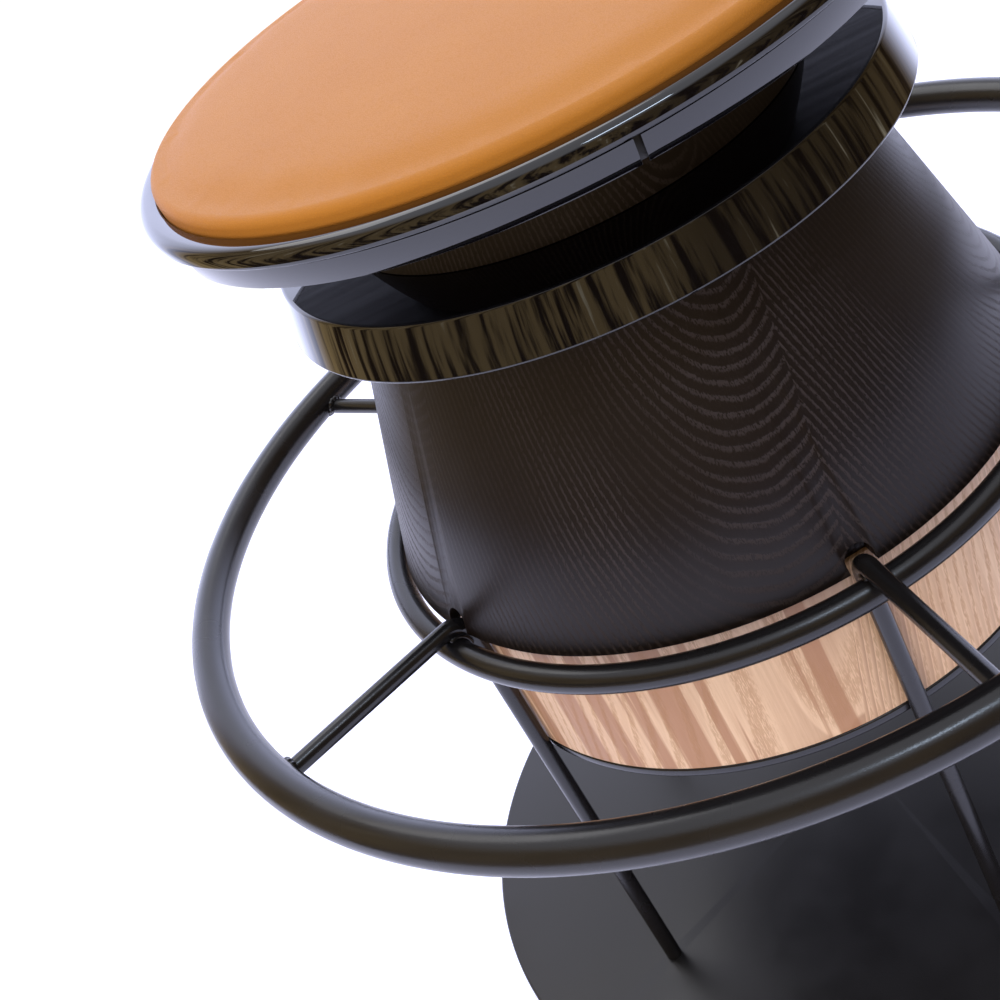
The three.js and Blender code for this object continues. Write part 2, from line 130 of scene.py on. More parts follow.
inner_ring_reach = reach("inner_ring")
foot_ring_reach = reach("foot_ring")
INNER_RING_TUBE = inner_ring_reach[1] - inner_ring_reach[0]
INNER_RING_RADIUS = sum(inner_ring_reach) / 2
FOOT_RING_TUBE = foot_ring_reach[1] - foot_ring_reach[0]
FOOT_RING_RADIUS = sum(foot_ring_reach) / 2
SPOKE_HEIGHT = low("dark_cone") + SPOKE_RISE
BEND_RADIUS = ROD_RADIUS + TOUCH + INNER_RING_TUBE / 2
INNER_RING_HEIGHT = SPOKE_HEIGHT - BEND_RADIUS
FOOT_RING_HEIGHT = (low("foot_ring") + high("foot_ring")) / 2
LEG_CIRCLE = INNER_RING_RADIUS - BEND_RADIUS
BEND_CENTRE = (INNER_RING_RADIUS, 0, INNER_RING_HEIGHT)
rod_angles = [FIRST_ROD_ANGLE + math.tau * i / ROD_COUNT for i in range(ROD_COUNT)]


# ---- Shader nodes -------------------------------------------------------------------------------
class Value:
    """A number inside a finish. Python's operators add its Math nodes."""

    def __init__(self, finish, socket):
        self.finish = finish
        self.socket = socket

    def math(self, operation, *others):
        inputs = dict(enumerate([self, *others]))
        return self.finish.node("ShaderNodeMath", {"operation": operation}, inputs)

    def __add__(self, other):
        return self.math("ADD", other)

    def __sub__(self, other):
        return self.math("SUBTRACT", other)

    def __rsub__(self, other):
        return self.finish.node("ShaderNodeMath", {"operation": "SUBTRACT"}, {0: other, 1: self})

    def __mul__(self, other):
        return self.math("MULTIPLY", other)

    def __truediv__(self, other):
        return self.math("DIVIDE", other)

    def __gt__(self, other):
        return self.math("GREATER_THAN", other)

    __radd__ = __add__
    __rmul__ = __mul__


class Finish:
    """One material of the stool, painted with nodes."""

    def __init__(self, name, tree=None):
        if tree is None:
            self.material = bpy.data.materials.new(name)
            self.material.use_nodes = True
            tree = self.material.node_tree
        self.tree = tree
        self.tree.nodes.clear()

    def node(self, kind, settings=None, inputs=None, output=0):
        """Adds a node, sets its settings, then gives its sockets their numbers or links."""
        made = self.tree.nodes.new(kind)
        for key, setting in (settings or {}).items():
            setattr(made, key, setting)
        for key, given in (inputs or {}).items():
            if isinstance(given, Value):
                self.tree.links.new(given.socket, made.inputs[key])
            else:
                made.inputs[key].default_value = given
        return Value(self, made.outputs[output]) if made.outputs else made

    def place(self, stretch=(1, 1, 1)):
        """Where a point is on the stool, with each axis stretched."""
        place = self.node("ShaderNodeTexCoord", output="Object")
        return self.node("ShaderNodeMapping", inputs={"Vector": place, "Scale": stretch})

    def axes(self, vector):
        return [self.node("ShaderNodeSeparateXYZ", inputs={0: vector}, output=i) for i in range(3)]

    def noise(self, scale, stretch=(1, 1, 1), detail=2.0, roughness=0.5):
        inputs = {"Vector": self.place(stretch), "Scale": scale, "Detail": detail, "Roughness": roughness}
        return self.node("ShaderNodeTexNoise", inputs=inputs)

    def cells(self, scale, feature="F1", stretch=(1, 1, 1)):
        inputs = {"Vector": self.place(stretch), "Scale": scale}
        return self.node("ShaderNodeTexVoronoi", {"feature": feature}, inputs)

    def between(self, value, start, end, first=0.0, last=1.0):
        """Smoothly from first at start to last at end."""
        inputs = {"Value": value, "From Min": start, "From Max": end, "To Min": first, "To Max": last}
        return self.node("ShaderNodeMapRange", {"interpolation_type": "SMOOTHSTEP"}, inputs)

    def blend(self, share, first, second):
        """Mixes two colours."""
        settings = {"data_type": "RGBA", "blend_type": "MIX"}
        return self.node("ShaderNodeMix", settings, {0: share, 6: first, 7: second}, output=2)

    def bump(self, height, distance, strength=1.0):
        inputs = {"Height": height, "Distance": distance, "Strength": strength}
        return self.node("ShaderNodeBump", inputs=inputs)

    def surface(self, **sockets):
        """Ends the finish with the main shader, whose sockets are named with spaces as underscores."""
        inputs = {key.replace("_", " "): given for key, given in sockets.items()}
        shader = self.node("ShaderNodeBsdfPrincipled", inputs=inputs)
        self.node("ShaderNodeOutputMaterial", inputs={0: shader})
        return self.material


def rgb(red, green, blue):
    return (red, green, blue, 1.0)


def powder_coat(name, roughness=0.24):
    """Satin black powder coat: a faint even pebble, with slightly duller patches."""
    coat = Finish(name)
    pebble = coat.noise(1400, detail=1.0)
    patches = coat.noise(26, detail=3.0)
    color = coat.blend(patches, rgb(0.0070, 0.0064, 0.0070), rgb(0.0110, 0.0100, 0.0108))
    gloss = coat.between(patches, 0.3, 0.7, roughness - 0.04, roughness + 0.05)
    return coat.surface(Base_Color=color, Roughness=gloss, Normal=coat.bump(pebble, 0.00006, 0.5))


def black_lacquer():
    """Deep gloss black lacquer, polished, with the last trace of a sprayed surface."""
    lacquer = Finish("black_lacquer")
    flow = lacquer.noise(95, detail=1.0)
    haze = lacquer.noise(18, detail=4.0)
    color = lacquer.blend(haze, rgb(0.0016, 0.0014, 0.0022), rgb(0.0030, 0.0028, 0.0040))
    gloss = lacquer.between(haze, 0.35, 0.75, 0.015, 0.05)
    normal = lacquer.bump(flow, 0.00003, 0.35)
    return lacquer.surface(Base_Color=color, Roughness=gloss, Normal=normal, IOR=1.52, Coat_Weight=0.35)


def ash_rings(finish, pitch, pith_distance):
    """Place inside each growth ring, from 0 to 1, on a body glued up from five staves with upright grain."""
    x, y, z = finish.axes(finish.place())
    azimuth = y.math("ARCTAN2", x)
    lean = (z - STAVE_FOOT) * STAVE_LEAN
    stave = ((azimuth - lean - STAVE_START) / STAVE_ANGLE).math("FLOOR")
    pith_angle = stave * STAVE_ANGLE + (STAVE_START + STAVE_ANGLE - PITH_OFFSET) + lean
    across_x = x - pith_angle.math("COSINE") * pith_distance
    across_y = y - pith_angle.math("SINE") * pith_distance
    depth = (across_x * across_x + across_y * across_y).math("SQRT")
    drift = finish.noise(9, (1, 1, 0.45), detail=2.0) * 0.008
    waver = finish.noise(90, (1, 1, 0.2), detail=2.0) * 0.0009
    depth = depth + drift + waver + z * 0.02 + stave * 0.0137
    return (depth / pitch).math("FRACT"), stave


def ash_pores(finish, ring, scale):
    """Open pores: short upright dashes, crowded in the early part of each growth ring."""
    early = finish.between(ring, 0.02, 0.16) * finish.between(ring, 0.34, 0.62, 1.0, 0.0)
    dashes = finish.noise(scale, (1, 1, 0.11), detail=2.0, roughness=0.55)
    crowded = finish.between(dashes + early * 0.17, 0.56, 0.67)
    return crowded * (early * 0.85 + 0.15)


def dark_ash():
    """Ash stained black-brown and matt lacquered, its pores left open, their paler colour a painted
    highlight.
    """
    ash = Finish("dark_ash")
    ring, _ = ash_rings(ash, 0.00172, 0.080)
    pores = ash_pores(ash, ring, 1900)
    late = ash.between(ring, 0.45, 0.98) * ash.between(ring, 0.98, 1.0, 1.0, 0.0)
    cloud = ash.noise(14, (1, 1, 0.4), detail=3.0)
    quiet = ash.between(ash.noise(11, (1, 1, 0.35), detail=2.0), 0.40, 0.60, 0.25, 1.0)
    shown = pores * quiet
    color = ash.blend(cloud, rgb(0.0070, 0.0040, 0.0036), rgb(0.0115, 0.0072, 0.0066))
    color = ash.blend(late * 0.25, color, rgb(0.0055, 0.0036, 0.0036))
    # Painted highlight: the open pores are painted paler for the light they catch; their pits and roughness
    # are real.
    color = ash.blend(shown * 0.75, color, rgb(0.0460, 0.0350, 0.0340))
    gloss = ash.between(shown, 0.0, 1.0, 0.38, 0.62)
    height = late * 0.12 - shown
    return ash.surface(Base_Color=color, Roughness=gloss, Normal=ash.bump(height, 0.00010, 0.6),
                       Specular_IOR_Level=0.30)


def pale_ash():
    """Natural ash under matt oil: cream timber with upright brown latewood streaks and fine pores."""
    ash = Finish("pale_ash")
    ring, stave = ash_rings(ash, 0.0024, -0.25)
    pores = ash_pores(ash, ring, 2300)
    late = ash.between(ring, 0.30, 0.92) * ash.between(ring, 0.95, 1.0, 1.0, 0.0)
    figure = ash.between(ash.noise(22, (1, 1, 0.12), detail=3.0, roughness=0.6), 0.46, 0.64)
    fibre = ash.between(ash.noise(420, (1, 1, 0.03), detail=4.0, roughness=0.7), 0.35, 0.70)
    cloud = ash.noise(16, (1, 1, 0.25), detail=3.0)
    color = ash.blend(cloud, rgb(0.850, 0.620, 0.400), rgb(0.740, 0.470, 0.265))
    streaks = ash.between(ash.noise(135, (1, 1, 0.022), detail=3.0), 0.52, 0.60)
    flamed = ash.between((stave * 0.5).math("FRACT"), 0.2, 0.3)
    color = ash.blend(fibre * 0.45, color, rgb(0.560, 0.330, 0.180))
    color = ash.blend(late * (figure * 0.55 + 0.08), color, rgb(0.340, 0.155, 0.065))
    color = ash.blend(streaks * (flamed * 0.70 + 0.15), color, rgb(0.400, 0.185, 0.080))
    color = ash.blend(pores * 0.50, color, rgb(0.430, 0.230, 0.120))
    gloss = ash.between(pores, 0.0, 1.0, 0.46, 0.68)
    height = late * 0.2 - pores - fibre * 0.2
    return ash.surface(Base_Color=color, Roughness=gloss, Normal=ash.bump(height, 0.00010, 0.6))


def tan_leather():
    """Vegetable-tanned leather with a fine, even grain."""
    hide = Finish("tan_leather")
    creases = hide.cells(1150, "DISTANCE_TO_EDGE")
    pebble = hide.between(creases, 0.0, 0.22)
    fine = hide.noise(3800, detail=2.0)
    mottle = hide.noise(22, detail=5.0, roughness=0.6)
    hairs = hide.between(hide.noise(1500, (1, 0.35, 1), detail=2.0), 0.62, 0.72)
    color = hide.blend(mottle, rgb(0.580, 0.224, 0.030), rgb(0.635, 0.262, 0.042))
    # Painted shade: the creases between the grain's pebbles are painted darker.
    color = hide.blend((1 - pebble) * 0.16, color, rgb(0.420, 0.170, 0.060))
    color = hide.blend(hairs * 0.10, color, rgb(0.400, 0.170, 0.065))
    gloss = hide.between(pebble, 0.0, 1.0, 0.66, 0.50)
    height = pebble * 0.7 + fine * 0.35 - hairs * 0.5
    return hide.surface(Base_Color=color, Roughness=gloss, Normal=hide.bump(height, 0.00010, 0.45),
                        Specular_IOR_Level=0.26)


def birch_plywood():
    """Birch plywood: a quiet face veneer, and stripes of thin plies on its edge."""
    ply = Finish("birch_plywood")
    x, y, z = ply.axes(ply.place())
    face = ply.noise(160, (0.06, 1, 1), detail=4.0)
    layers = (z / 0.0014).math("PINGPONG", 1.0) > 0.5
    color = ply.blend(face, rgb(0.560, 0.370, 0.210), rgb(0.430, 0.260, 0.130))
    color = ply.blend(layers * 0.22, color, rgb(0.300, 0.170, 0.080))
    gloss = ply.between(face, 0.3, 0.7, 0.58, 0.72)
    return ply.surface(Base_Color=color, Roughness=gloss, Normal=ply.bump(face, 0.0001, 0.5))


def bright_zinc():
    """Bright zinc plate with fine turned lines and a faint spangle."""
    zinc = Finish("bright_zinc")
    spangle = zinc.cells(420)
    lines = zinc.noise(900, (0.05, 0.05, 1), detail=2.0)
    color = zinc.blend(spangle, rgb(0.52, 0.53, 0.55), rgb(0.66, 0.66, 0.64))
    gloss = zinc.between(lines, 0.3, 0.7, 0.24, 0.40)
    normal = zinc.bump(lines, 0.00004, 0.4)
    return zinc.surface(Base_Color=color, Roughness=gloss, Metallic=1.0, Normal=normal)


def wool_felt():
    """Dense black wool felt with a matted nap."""
    felt = Finish("wool_felt")
    nap = felt.noise(2600, detail=4.0, roughness=0.7)
    matting = felt.noise(240, detail=3.0)
    color = felt.blend(nap, rgb(0.009, 0.009, 0.010), rgb(0.030, 0.030, 0.032))
    gloss = felt.between(matting, 0.3, 0.7, 0.88, 0.98)
    return felt.surface(Base_Color=color, Roughness=gloss, Normal=felt.bump(nap + matting, 0.0004, 0.8))


def black_stain():
    """Plywood stained black, with its face grain just showing."""
    stain = Finish("black_stain")
    face = stain.noise(160, (0.06, 1, 1), detail=4.0)
    color = stain.blend(face, rgb(0.0040, 0.0032, 0.0030), rgb(0.0090, 0.0072, 0.0065))
    gloss = stain.between(face, 0.3, 0.7, 0.42, 0.55)
    return stain.surface(Base_Color=color, Roughness=gloss, Normal=stain.bump(face, 0.0001, 0.4))


STEEL = powder_coat("satin_black_steel")
BASE_STEEL = powder_coat("satin_black_base", 0.36)
LACQUER = black_lacquer()
DARK_ASH = dark_ash()
PALE_ASH = pale_ash()
LEATHER = tan_leather()
PLYWOOD = birch_plywood()
BLACK_STAIN = black_stain()
ZINC = bright_zinc()
FELT = wool_felt()


# ---- Modelling ----------------------------------------------------------------------------------
def deselect():
    bpy.ops.object.select_all(action="DESELECT")


def only(piece):
    deselect()
    piece.select_set(True)
    bpy.context.view_layer.objects.active = piece


def open_mesh(piece):
    """Goes into edit mode on one piece with all of it selected."""
    only(piece)
    bpy.ops.object.mode_set(mode="EDIT")
    bpy.ops.mesh.select_mode(type="VERT")
    bpy.ops.mesh.select_all(action="SELECT")


def close_mesh(piece, merged=True):
    """Merges what coincides, turns the faces outwards and leaves edit mode."""
    bpy.ops.mesh.select_all(action="SELECT")
    if merged:
        bpy.ops.mesh.remove_doubles(threshold=MERGE)
    bpy.ops.mesh.normals_make_consistent(inside=False)
    bpy.ops.object.mode_set(mode="OBJECT")
    return piece


def select_faces(piece, test):
    """Selects only the faces whose centre and normal pass the test."""
    bpy.ops.mesh.select_mode(type="FACE")
    bpy.ops.mesh.select_all(action="DESELECT")
    mesh = bmesh.from_edit_mesh(piece.data)
    for face in mesh.faces:
        face.select_set(test(face.calc_center_median(), face.normal))
    bmesh.update_edit_mesh(piece.data)


def push(x=0.0, y=0.0, z=0.0):
    """Extrudes what is selected."""
    bpy.ops.mesh.extrude_region_move(TRANSFORM_OT_translate={"value": (x, y, z)})


def turned(outline, steps=ROUND_STEPS):
    """Draws an outline of (radius, height) points stroke by stroke and spins it about the stool's axis."""
    deselect()
    bpy.ops.mesh.primitive_plane_add(size=TOUCH)
    piece = bpy.context.object
    open_mesh(piece)
    bpy.ops.mesh.merge(type="CENTER")
    here = outline[0]
    bpy.ops.transform.translate(value=(here[0], 0, here[1]))
    stops = list(outline[1:])
    if outline[0][0] > 0:
        stops.append(outline[0])
    for stop in stops:
        push(x=stop[0] - here[0], z=stop[1] - here[1])
        here = stop
    bpy.ops.mesh.select_all(action="SELECT")
    bpy.ops.mesh.remove_doubles(threshold=MERGE)
    bpy.ops.mesh.spin(steps=steps, angle=math.tau, center=(0, 0, 0), axis=(0, 0, 1))
    return close_mesh(piece)


def corner(radius, height, size, start, end, steps=6):
    """Points of a rounded corner in an outline, from one angle to another in degrees."""
    angles = [math.radians(start + (end - start) * i / steps) for i in range(steps + 1)]
    return [(radius + size * math.cos(a), height + size * math.sin(a)) for a in angles]


def apply_modifier(piece, kind, **settings):
    only(piece)
    modifier = piece.modifiers.new(kind.title(), kind)
    for key, setting in settings.items():
        setattr(modifier, key, setting)
    bpy.ops.object.modifier_apply(modifier=modifier.name)


def soften(piece, width, segments=3):
    """Rounds a piece's sharp edges."""
    apply_modifier(piece, "BEVEL", width=width, segments=segments, limit_method="ANGLE",
                   angle_limit=math.radians(35), use_clamp_overlap=True)


def carve(piece, cutters):
    """Cuts other solids out of a piece and takes them away."""
    for cutter in cutters:
        apply_modifier(piece, "BOOLEAN", operation="DIFFERENCE", solver="EXACT", object=cutter)
        bpy.data.objects.remove(cutter)


def settle(piece):
    """Puts a piece's place into its mesh."""
    only(piece)
    bpy.ops.object.transform_apply(location=True, rotation=True, scale=True)
    return piece


def copy_turned(piece, angle):
    """Copy of a piece, with its own mesh, turned about the stool's axis."""
    twin = piece.copy()
    twin.data = piece.data.copy()
    bpy.context.collection.objects.link(twin)
    twin.rotation_euler = (0, 0, angle)
    return settle(twin)


def around_stool(piece, angles):
    """Copies of one piece at several angles. The first drawn is taken away."""
    twins = [copy_turned(piece, angle) for angle in angles]
    bpy.data.objects.remove(piece)
    return twins


def join(pieces):
    only(pieces[0])
    for piece in pieces[1:]:
        piece.select_set(True)
    bpy.ops.object.join()
    return pieces[0]


def finish_piece(piece, name, material, slot, body, *nodes, sharp=35):
    """Names, paints and mounts a finished piece."""
    only(piece)
    bpy.ops.object.shade_smooth_by_angle(angle=math.radians(sharp))
    piece.name = piece.data.name = name
    piece.data.materials.clear()
    piece.data.materials.append(material)
    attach(piece, body)
    if nodes:
        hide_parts(*nodes)
    return piece


# ---- Base ---------------------------------------------------------------------------------------
def screw_outline(grow, mouth):
    """Countersunk leg screw's outline; grow makes the hole for it, which starts at the mouth."""
    sunk = low("leg_screw_1")
    head = LEG_SCREW_HEAD + grow
    shank = LEG_SCREW_RADIUS + grow
    edge = sunk + LEG_SCREW_EDGE + grow
    tip = high("leg_screw_1") + grow
    return [(0, mouth), (head, mouth), (head, edge), (shank, edge + head - shank), (shank, tip), (0, tip)]


def build_base():
    bottom, top = low("base_plate"), high("base_plate")
    radius = reach("base_plate")[1]
    plate = turned([(0, bottom), (radius, bottom), (radius, top), (0, top)])
    soften(plate, BASE_EDGE, 4)
    hole = turned(screw_outline(SCREW_CLEARANCE, bottom - CUT_PAST / 2), SMALL_STEPS)
    hole.location.x = LEG_CIRCLE
    carve(plate, around_stool(settle(hole), rod_angles))
    finish_piece(plate, "base_disc", BASE_STEEL, "black_steel", "stand", "base_plate")

    screw = turned(screw_outline(0, low("leg_screw_1")), SMALL_STEPS)
    bpy.ops.mesh.primitive_cylinder_add(vertices=6, radius=HEX_KEY_RADIUS, depth=HEX_KEY_DEPTH)
    key = bpy.context.object
    key.location.z = low("leg_screw_1")
    carve(screw, [settle(key)])
    soften(screw, 0.0002, 2)
    screw.location.x = LEG_CIRCLE
    for i, twin in enumerate(around_stool(settle(screw), rod_angles)):
        finish_piece(twin, f"foot_screw_{i + 1}", ZINC, "zinc_steel", "stand", f"leg_screw_{i + 1}")

    outer = reach("glide_ring")[1]
    inner = outer - GLIDE_WIDTH
    glide = turned([(inner, low("glide_ring")), (outer, low("glide_ring")),
                    (outer, high("glide_ring")), (inner, high("glide_ring"))])
    soften(glide, 0.0008, 3)
    finish_piece(glide, "felt_glide", FELT, "felt", "stand", "glide_ring")


# ---- Frame --------------------------------------------------------------------------------------
def bent_rod():
    """Rod in the X-Z plane: up the leg, round the bend and out along the spoke."""
    deselect()
    foot = high("base_plate") + TOUCH
    bpy.ops.mesh.primitive_circle_add(vertices=32, radius=ROD_RADIUS, fill_type="NGON",
                                      location=(LEG_CIRCLE, 0, foot))
    rod = settle(bpy.context.object)
    open_mesh(rod)
    push(z=INNER_RING_HEIGHT - foot)
    bpy.ops.mesh.spin(steps=14, angle=math.pi / 2, center=BEND_CENTRE, axis=(0, -1, 0))
    push(x=FOOT_RING_RADIUS - FOOT_RING_TUBE / 2 - INNER_RING_RADIUS)
    return close_mesh(rod)


def ring_weld():
    """Rippled bead round a spoke's end, shaped to the foot ring."""
    deselect()
    bpy.ops.mesh.primitive_torus_add(major_radius=ROD_RADIUS + TOUCH, minor_radius=WELD_RADIUS,
                                     major_segments=64, minor_segments=12,
                                     rotation=(0, math.pi / 2, 0), location=(0, 0, SPOKE_HEIGHT))
    bead = settle(bpy.context.object)
    for vertex in bead.data.vertices:
        y, z = vertex.co.y, vertex.co.z - SPOKE_HEIGHT
        spread = math.hypot(y, z)
        ripple = 1 + WELD_RIPPLE * math.cos(WELD_RIPPLES * math.atan2(z, y))
        grown = ROD_RADIUS + (spread - ROD_RADIUS) * ripple
        y, z = y * grown / spread, z * grown / spread
        rise = SPOKE_HEIGHT + z - FOOT_RING_HEIGHT
        depth = math.sqrt(max((FOOT_RING_TUBE / 2) ** 2 - rise ** 2, 0.0))
        wall = math.sqrt((FOOT_RING_RADIUS - depth) ** 2 - y ** 2)
        vertex.co = (wall + vertex.co.x * ripple, y, SPOKE_HEIGHT + z)
    return bead


def bend_weld(side):
    """Bead that fills the groove between the inner ring and one side of a rod's bend."""
    deselect()
    path = INNER_RING_TUBE / 2 + BEAD_END
    start = (INNER_RING_RADIUS - path, side * BEAD_OFFSET, INNER_RING_HEIGHT - BEAD_END)
    bpy.ops.mesh.primitive_circle_add(vertices=14, radius=BEAD_RADIUS, fill_type="NGON", location=start)
    bead = settle(bpy.context.object)
    open_mesh(bead)
    push(z=BEAD_END)
    bpy.ops.mesh.spin(steps=20, angle=math.pi / 2, center=BEND_CENTRE, axis=(0, -1, 0))
    push(x=BEAD_END)
    bpy.ops.transform.resize(value=(1, 0.6, 0.6))
    return close_mesh(bead)


def round_bar_ring(radius, tube, height, steps):
    """Bar bent to a full ring: a round section spun about the stool's axis."""
    deselect()
    bpy.ops.mesh.primitive_circle_add(vertices=40, radius=tube / 2, location=(radius, 0, height),
                                      rotation=(math.pi / 2, 0, 0))
    ring = settle(bpy.context.object)
    open_mesh(ring)
    bpy.ops.mesh.spin(steps=steps, angle=math.tau, center=(0, 0, 0), axis=(0, 0, 1))
    return close_mesh(ring)


def build_frame():
    for i, rod in enumerate(around_stool(bent_rod(), rod_angles)):
        finish_piece(rod, f"bent_rod_{i + 1}", STEEL, "black_steel", "stand", f"rod_{i + 1}")
    welds = join([ring_weld(), bend_weld(1), bend_weld(-1)])
    for i, weld in enumerate(around_stool(welds, rod_angles)):
        finish_piece(weld, f"rod_welds_{i + 1}", STEEL, "black_steel", "stand", sharp=60)
    inner = round_bar_ring(INNER_RING_RADIUS, INNER_RING_TUBE, INNER_RING_HEIGHT, ROUND_STEPS)
    finish_piece(inner, "collar_ring", STEEL, "black_steel", "stand", "inner_ring")
    foot = round_bar_ring(FOOT_RING_RADIUS, FOOT_RING_TUBE, FOOT_RING_HEIGHT, ROUND_STEPS)
    finish_piece(foot, "foot_rest_ring", STEEL, "black_steel", "stand", "foot_ring")

    inner, outer = reach("body_tray")
    tray = turned([(inner, low("body_tray")), (outer, low("body_tray")),
                   (outer, high("body_tray")), (inner, high("body_tray"))])
    soften(tray, 0.0010, 3)
    finish_piece(tray, "steel_tray", STEEL, "black_steel", "stand", "body_tray")


# ---- Timber body --------------------------------------------------------------------------------
def socket_cutter():
    """Arched block, open downwards, that lets a rod's bend into the cone's lower edge."""
    half = ROD_RADIUS + SOCKET_CLEARANCE
    inner = LEG_CIRCLE - half
    outer = reach("dark_cone")[1] + CUT_PAST
    drop = SPOKE_RISE + CUT_PAST
    deselect()
    middle = ((inner + outer) / 2, 0, SPOKE_HEIGHT)
    bpy.ops.mesh.primitive_cylinder_add(vertices=48, radius=half, depth=outer - inner,
                                        rotation=(0, math.pi / 2, 0), location=middle)
    arch = settle(bpy.context.object)
    open_mesh(arch)
    bpy.ops.mesh.bisect(plane_co=(0, 0, SPOKE_HEIGHT), plane_no=(0, 0, 1), clear_inner=True, use_fill=True)
    select_faces(arch, lambda centre, normal: abs(normal.z) > 0.99 and abs(centre.z - SPOKE_HEIGHT) < MERGE)
    push(z=-drop)
    return close_mesh(arch)


def build_body():
    hollow = reach("pale_band")[0]
    radius = reach("pale_band")[1]
    bottom, top = low("pale_band"), high("pale_band")
    band = turned([(hollow, bottom), (radius, bottom), (radius, top), (hollow, top)])
    soften(band, 0.0006, 3)
    finish_piece(band, "pale_ash_band", PALE_ASH, "pale_ash", "stand", "pale_band")

    bottom, top = low("dark_cone"), high("dark_cone")
    wide = reach("dark_cone")[1]
    narrow = wide - CONE_TAPER * (top - bottom)
    cone = turned([(hollow, bottom), (wide, bottom), (narrow, top), (hollow, top)])
    carve(cone, around_stool(socket_cutter(), rod_angles))
    soften(cone, 0.0006, 2)
    finish_piece(cone, "dark_ash_cone", DARK_ASH, "dark_ash", "stand", "dark_cone")

    bore, wide = reach("collar")
    bottom, top = low("collar"), high("collar")
    collar = turned([(bore, bottom), (wide, bottom), (wide - COLLAR_TAPER, top), (bore, top)])
    soften(collar, COLLAR_EDGE, 5)
    finish_piece(collar, "gloss_collar", LACQUER, "black_lacquer", "stand", "collar")

    wide = reach("neck_cone")[1]
    bottom, top = low("neck_cone"), high("neck_cone")
    narrow = wide - CONE_TAPER * (top - bottom)
    neck = turned([(hollow, bottom), (wide, bottom), (narrow, top), (hollow, top)])
    soften(neck, 0.0004, 2)
    finish_piece(neck, "dark_ash_neck", DARK_ASH, "dark_ash", "stand", "neck_cone")


def build_tie():
    """Threaded tie rod, with its lower washer and nut, which show under the tray."""
    bottom, top = low("tie_rod"), high("tie_rod")
    radius = reach("tie_rod")[1]
    root = radius - THREAD_DEPTH
    nut_top = high("lower_nut")
    outline = [(0, bottom), (root, bottom)]
    turns = int((nut_top - bottom) / THREAD_PITCH)
    for i in range(turns):
        height = bottom + THREAD_PITCH * i
        outline += [(radius, height + THREAD_PITCH / 2), (root, height + THREAD_PITCH)]
    outline += [(radius, nut_top + THREAD_PITCH), (radius, top), (0, top)]
    rod = turned(outline, SMALL_STEPS)
    finish_piece(rod, "threaded_tie", ZINC, "zinc_steel", "stand", "tie_rod")

    bore, outer = reach("lower_washer")
    bottom, top = low("lower_washer"), high("lower_washer")
    washer = turned([(bore, bottom), (outer, bottom), (outer, top), (bore, top)], 96)
    soften(washer, 0.0005, 3)
    finish_piece(washer, "broad_washer", ZINC, "zinc_steel", "stand", "lower_washer")

    bottom, top = low("lower_nut"), high("lower_nut")
    deselect()
    bpy.ops.mesh.primitive_cylinder_add(vertices=6, radius=reach("lower_nut")[1], depth=top - bottom,
                                        location=(0, 0, (bottom + top) / 2))
    nut = settle(bpy.context.object)
    bpy.ops.mesh.primitive_cylinder_add(vertices=48, radius=bore, depth=top - bottom + CUT_PAST,
                                        location=(0, 0, (bottom + top) / 2))
    carve(nut, [settle(bpy.context.object)])
    soften(nut, 0.0007, 3)
    finish_piece(nut, "clamping_nut", ZINC, "zinc_steel", "stand", "lower_nut")


# ---- Seat bed -----------------------------------------------------------------------------------
def build_bed():
    bottom, top = low("seat_bed"), high("seat_bed")
    bore, outer = reach("seat_bed")
    floor = low("lower_swivel_plate") - TOUCH
    recess = reach("lower_swivel_plate")[1] + RECESS_CLEARANCE
    bed = turned([(bore, bottom), (outer, bottom), (outer, top),
                  (recess, top), (recess, floor), (bore, floor)])
    soften(bed, 0.0005, 2)
    finish_piece(bed, "stained_bed", BLACK_STAIN, "black_stain", "stand", "seat_bed")

    inner, wide = reach("edge_band")
    narrow = inner + BAND_THICKNESS
    band = turned([(inner, bottom), (narrow, bottom), (wide, top), (inner, top)])
    deselect()
    bpy.ops.mesh.primitive_cube_add(size=1, location=(narrow, 0, (bottom + top) / 2))
    slit = bpy.context.object
    slit.scale = (4 * BAND_THICKNESS, BAND_SLIT, 2 * (top - bottom))
    carve(band, around_stool(settle(slit), [BAND_SLIT_ANGLE]))
    soften(band, 0.0006, 4)
    finish_piece(band, "gloss_edge_band", LACQUER, "black_lacquer", "stand", "edge_band")


# ---- Seat ---------------------------------------------------------------------------------------
def build_rim():
    inner, outer = reach("seat_rim")
    bottom, top = low("seat_rim"), high("seat_rim")
    outline = [(inner + RIM_EASE / 2, bottom), (outer - RIM_EASE, bottom)]
    outline += corner(outer - RIM_EASE, bottom + RIM_EASE, RIM_EASE, -90, 0, 3)[1:]
    outline += corner(outer - RIM_ROUND, top - RIM_ROUND, RIM_ROUND, 0, 90, 12)
    outline += corner(inner + RIM_EASE, top - RIM_EASE, RIM_EASE, 90, 180, 3)
    outline += [(inner, bottom + RIM_EASE / 2)]
    rim = turned(outline)
    finish_piece(rim, "gloss_rim", LACQUER, "black_lacquer", "seat", "seat_rim", sharp=50)


def pad_outline(outer, top, bottom, skirt):
    """Outline of leather and foam together: under the foam, round the skirt and over the crown."""
    edge = bottom + PAD_EDGE
    side = corner(outer - PAD_EDGE_ROUND, edge - PAD_EDGE_ROUND, PAD_EDGE_ROUND, 0, 82, 10)
    start, rise = side[-1][0], top - side[-1][1]
    crown = []
    for i in range(1, CROWN_RINGS + 1):
        share = 1 - i / CROWN_RINGS
        crown.append((start * share, top - rise * share ** PAD_FULLNESS))
    return [(0, bottom), *skirt, *side, *crown]


